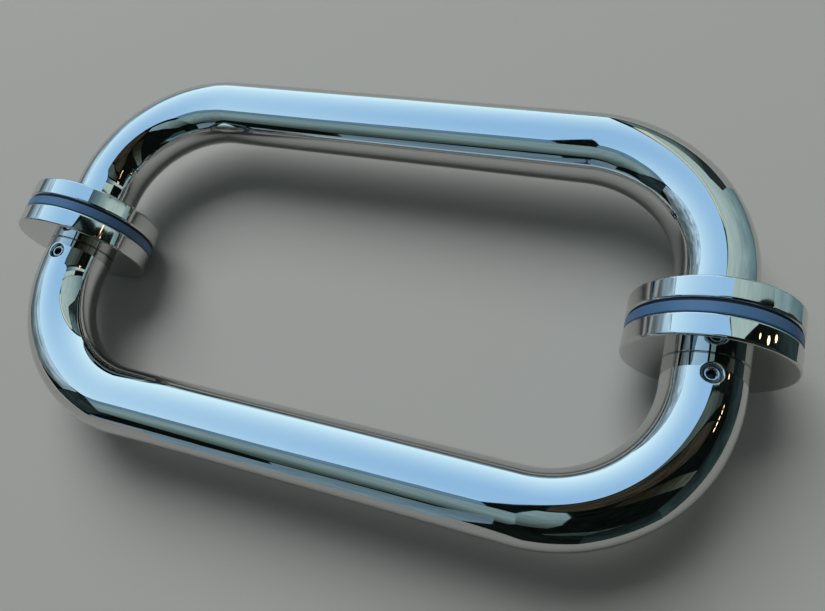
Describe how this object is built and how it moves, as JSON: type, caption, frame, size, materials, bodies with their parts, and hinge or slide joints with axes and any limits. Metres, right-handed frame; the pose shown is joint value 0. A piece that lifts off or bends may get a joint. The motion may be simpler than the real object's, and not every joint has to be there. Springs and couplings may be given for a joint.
{
  "type": "shower door handle",
  "caption": "Back-to-back tubular pull handle for a glass shower door: two bent polished tubes clamped through the glass between thick round washers and gaskets.",
  "frame": {"origin": "In the glass plane between the front and rear gaskets, midway between the two fixing points.", "axes": "X along the grip bars, Y through the glass from the front grip (with the set screws) to the rear grip, Z square to both, with the set screws facing +Z."},
  "size_m": [0.291, 0.155, 0.051],
  "materials": {
    "polished_steel": "mirror-polished stainless steel",
    "machined_steel": "turned stainless steel, as machined",
    "screw_steel": "plain stainless steel grub screw",
    "gasket_plastic": "satin blue-grey moulded plastic",
    "seal_rubber": "thin dark rubber",
    "sleeve_plastic": "natural nylon"
  },
  "bodies": {
    "root": {"front_grip_tube": "polished_steel", "rear_grip_tube": "polished_steel", "front_insert_left": "machined_steel", "rear_insert_left": "machined_steel", "front_washer_left": "polished_steel", "rear_washer_left": "polished_steel", "front_gasket_left": "gasket_plastic", "rear_gasket_left": "seal_rubber", "through_stud_left": "machined_steel", "glass_sleeve_left": "sleeve_plastic", "mounting_post_left": "machined_steel", "set_screw_left": "screw_steel", "front_insert_right": "machined_steel", "rear_insert_right": "machined_steel", "front_washer_right": "polished_steel", "rear_washer_right": "polished_steel", "front_gasket_right": "gasket_plastic", "rear_gasket_right": "seal_rubber", "through_stud_right": "machined_steel", "glass_sleeve_right": "sleeve_plastic", "mounting_post_right": "machined_steel", "set_screw_right": "screw_steel"}
  },
  "joints": []
}
